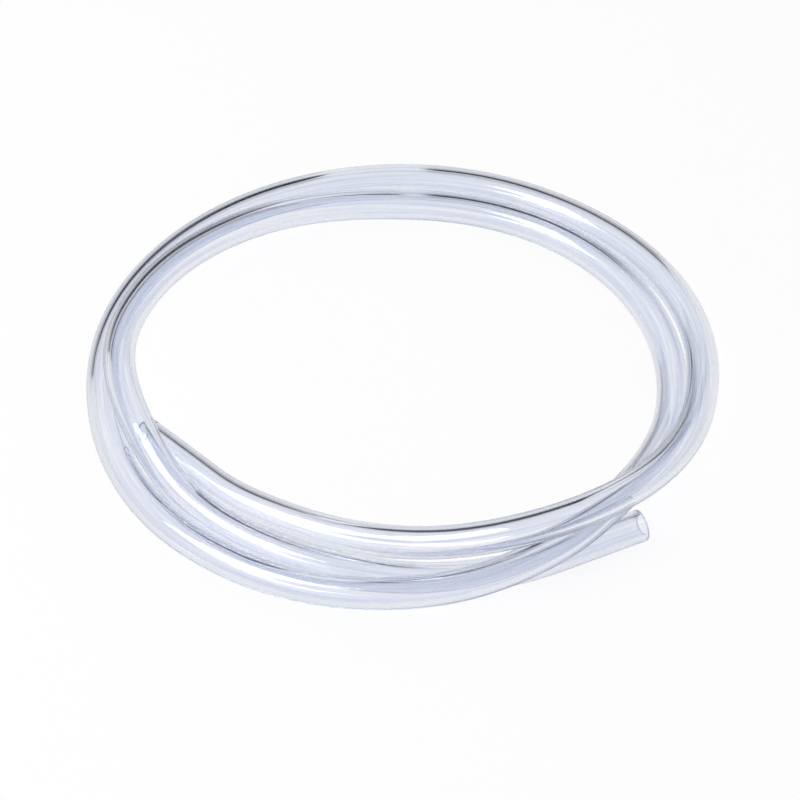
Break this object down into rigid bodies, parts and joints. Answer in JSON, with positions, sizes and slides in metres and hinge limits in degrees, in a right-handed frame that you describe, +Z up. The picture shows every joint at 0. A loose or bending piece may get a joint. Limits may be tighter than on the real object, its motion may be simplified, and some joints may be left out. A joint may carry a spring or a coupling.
{
  "type": "siphon hose",
  "caption": "Clear, soft vinyl hose for siphoning, cut square at both ends and lying in a loose coil. Carries liquid from one vessel to another.",
  "frame": {"origin": "on the table, under the middle of the coil's outline", "axes": "+Z up; the free end points towards +X and a little towards +Y, at the coil's -Y side, which faces the viewer"},
  "size_m": [0.251, 0.2554, 0.0381],
  "materials": {
    "hose": "clear, smooth and glossy"
  },
  "bodies": {
    "root": {"free_end": "hose", "tail": "hose", "first_turn": "hose", "crossover": "hose", "second_turn": "hose", "inner_run": "hose", "tucked_end": "hose"}
  },
  "joints": []
}
